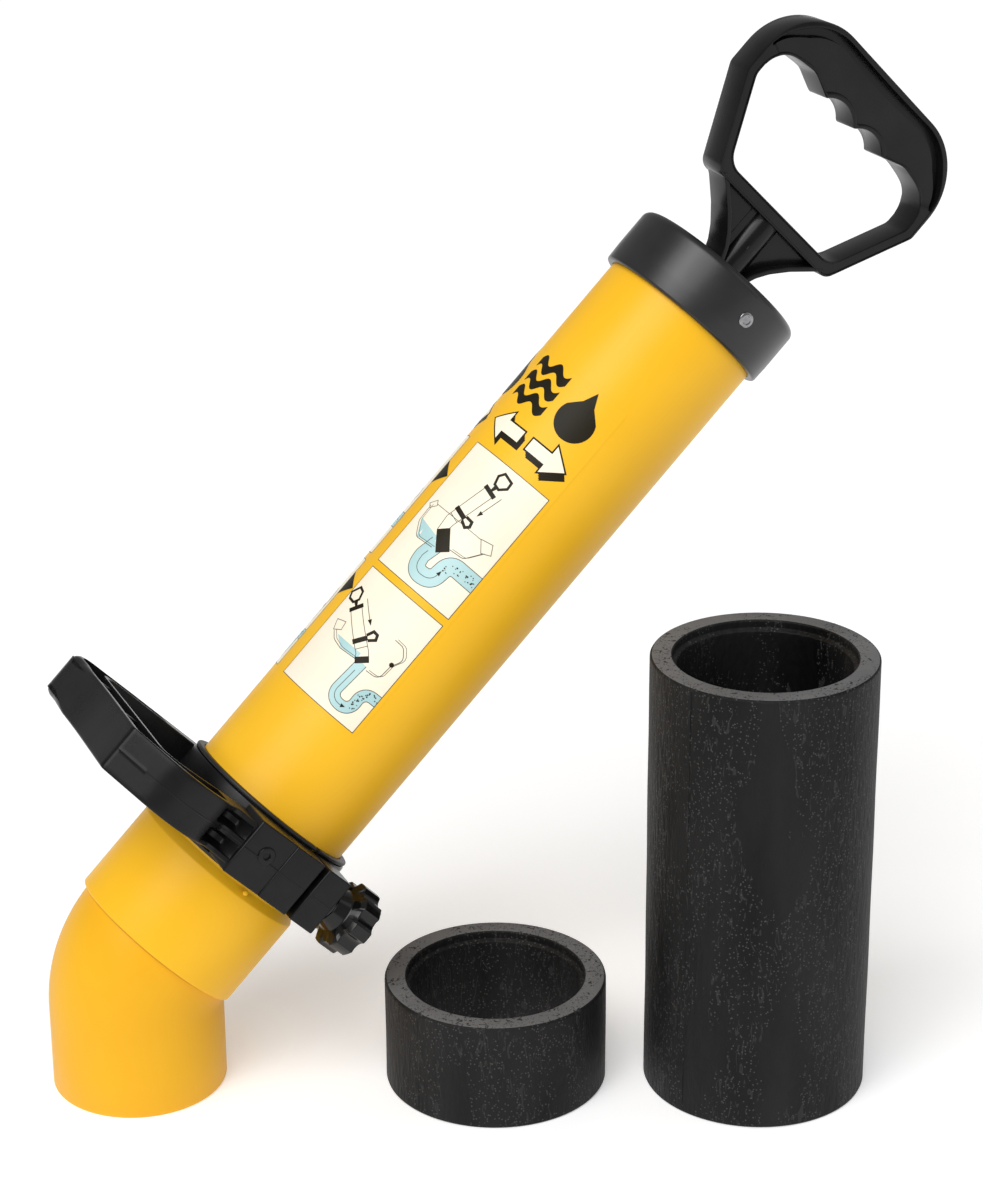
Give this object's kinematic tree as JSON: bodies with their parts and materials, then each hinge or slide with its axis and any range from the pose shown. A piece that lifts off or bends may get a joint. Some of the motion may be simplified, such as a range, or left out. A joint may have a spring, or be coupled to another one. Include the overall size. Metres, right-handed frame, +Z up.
{
  "type": "drain pump",
  "caption": "Hand-worked push-pull drain pump: a slanted piston barrel on a 45 degree outlet bend, a pull grip, a clamp-on side handle and loose rubber outlet collars.",
  "frame": {"origin": "centre of the outlet's open end, in the plane of its rim", "axes": "+Z up, away from the drain along the outlet; the barrel leans 45 degrees from +Z towards +X; +Y sideways, with the clamp knob on the -Y side"},
  "size_m": [0.419, 0.2072, 0.435],
  "materials": {
    "yellow_barrel": "smooth satin-gloss PVC, warm yellow",
    "yellow_bend": "smooth satin-gloss PVC, slightly deeper yellow",
    "label": "printed film, cream panels on yellow",
    "cap_black": "satin moulded black",
    "pin_steel": "bright turned steel",
    "bush_plastic": "off-white acetal",
    "seal_rubber": "moulded black rubber",
    "hub_plastic": "black moulded plastic",
    "plated_steel": "zinc-plated steel",
    "rod_steel": "bright drawn steel rod",
    "grip_black": "semi-gloss moulded black",
    "handle_black": "semi-gloss moulded black",
    "liner_black": "satin black",
    "knob_black": "glossy moulded black",
    "collar_rubber": "matt black foam rubber with fine light specks"
  },
  "bodies": {
    "barrel": {"barrel_tube": "yellow_barrel", "outlet_elbow": "yellow_bend", "instruction_label": "label", "end_cap": "cap_black", "cap_pins": "pin_steel", "rod_guide_bush": "bush_plastic", "rod_wiper": "seal_rubber", "end_buffer": "seal_rubber"},
    "piston_seals": {"lower_piston_cup": "seal_rubber", "upper_piston_cup": "seal_rubber"},
    "plunger": {"piston_hub": "hub_plastic", "lower_piston_plate": "plated_steel", "upper_piston_plate": "plated_steel", "piston_washer": "plated_steel", "piston_nut": "plated_steel", "piston_rod": "rod_steel", "pull_grip": "grip_black", "grip_pin": "plated_steel"},
    "clamp_band": {"clamp_liner": "liner_black"},
    "side_handle": {"side_handle": "handle_black", "clamp_nut": "plated_steel"},
    "knob": {"clamp_knob": "knob_black", "clamp_stud": "plated_steel", "knob_washer": "plated_steel"},
    "short_collar": {"short_collar": "collar_rubber"},
    "long_collar": {"long_collar": "collar_rubber"}
  },
  "joints": [
    {"name": "plunge", "type": "slide", "parent": "barrel", "child": "piston_seals", "axis": [0.7071, 0, 0.7071], "range_m": [0, 0.27]},
    {"name": "grip_turn", "type": "hinge", "parent": "piston_seals", "child": "plunger", "pos_m": [0.28284, 0, 0.33634], "axis": [0.7071, 0, 0.7071], "continuous": true},
    {"name": "clamp_slide", "type": "slide", "parent": "barrel", "child": "clamp_band", "axis": [0.7071, 0, 0.7071], "range_m": [0, 0.044]},
    {"name": "handle_swing", "type": "hinge", "parent": "clamp_band", "child": "side_handle", "pos_m": [0.05416, 0, 0.10766], "axis": [0.7071, 0, 0.7071], "range_deg": [-90, 90]},
    {"name": "knob_turn", "type": "hinge", "parent": "side_handle", "child": "knob", "pos_m": [0.07538, -0.047, 0.08645], "axis": [0.7071, 0, -0.7071], "continuous": true},
    {"name": "short_collar_away", "type": "slide", "parent": "barrel", "child": "short_collar", "axis": [0, -1, 0], "range_m": [0, 0.12]},
    {"name": "long_collar_away", "type": "slide", "parent": "barrel", "child": "long_collar", "axis": [0, -1, 0], "range_m": [0, 0.12]}
  ]
}
